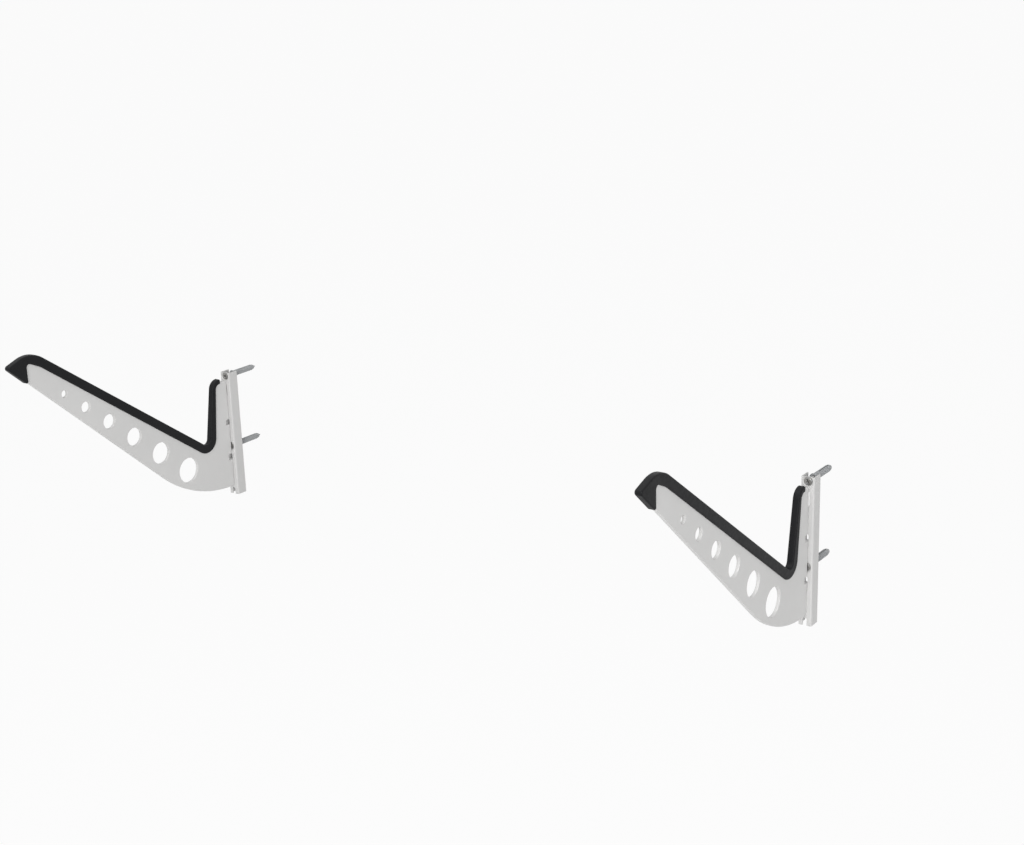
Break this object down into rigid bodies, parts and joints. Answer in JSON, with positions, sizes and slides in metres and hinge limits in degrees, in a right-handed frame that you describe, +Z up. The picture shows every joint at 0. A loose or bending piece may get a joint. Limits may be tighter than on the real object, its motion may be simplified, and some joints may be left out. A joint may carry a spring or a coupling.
{
  "type": "snowboard wall rack",
  "caption": "Wall rack: slotted rails screwed to a wall carry upswept arms of flat steel with rubber-padded upper edges, which cradle a board lying across them.",
  "frame": {"origin": "on the wall plane, midway between the two rails and level with their upper ends", "axes": "+X along the wall to the right as seen from the room, +Y into the wall, +Z up; the arms stand out towards -Y"},
  "size_m": [0.886, 0.4186, 0.278],
  "materials": {
    "rail_coat": "light grey powder coat, satin",
    "plate_coat": "light grey powder coat, fine texture, semi-matt",
    "pad_rubber": "black moulded rubber, matt with a soft sheen",
    "screw_zinc": "zinc plated",
    "plug_nylon": "grey nylon"
  },
  "bodies": {
    "wall_rails": {"left_rail": "rail_coat", "left_wall_screw_1": "screw_zinc", "left_wall_screw_2": "screw_zinc", "left_wall_plug_1": "plug_nylon", "left_wall_plug_2": "plug_nylon", "right_rail": "rail_coat", "right_wall_screw_1": "screw_zinc", "right_wall_screw_2": "screw_zinc", "right_wall_plug_1": "plug_nylon", "right_wall_plug_2": "plug_nylon"},
    "left_arm": {"left_arm_plate": "plate_coat", "left_edge_pad": "pad_rubber"},
    "right_arm": {"right_arm_plate": "plate_coat", "right_edge_pad": "pad_rubber"}
  },
  "joints": [
    {"name": "left_arm_lift", "type": "slide", "parent": "wall_rails", "child": "left_arm", "axis": [0, 0, 1], "range_m": [0, 0.007]},
    {"name": "right_arm_lift", "type": "slide", "parent": "wall_rails", "child": "right_arm", "axis": [0, 0, 1], "range_m": [0, 0.007]}
  ]
}
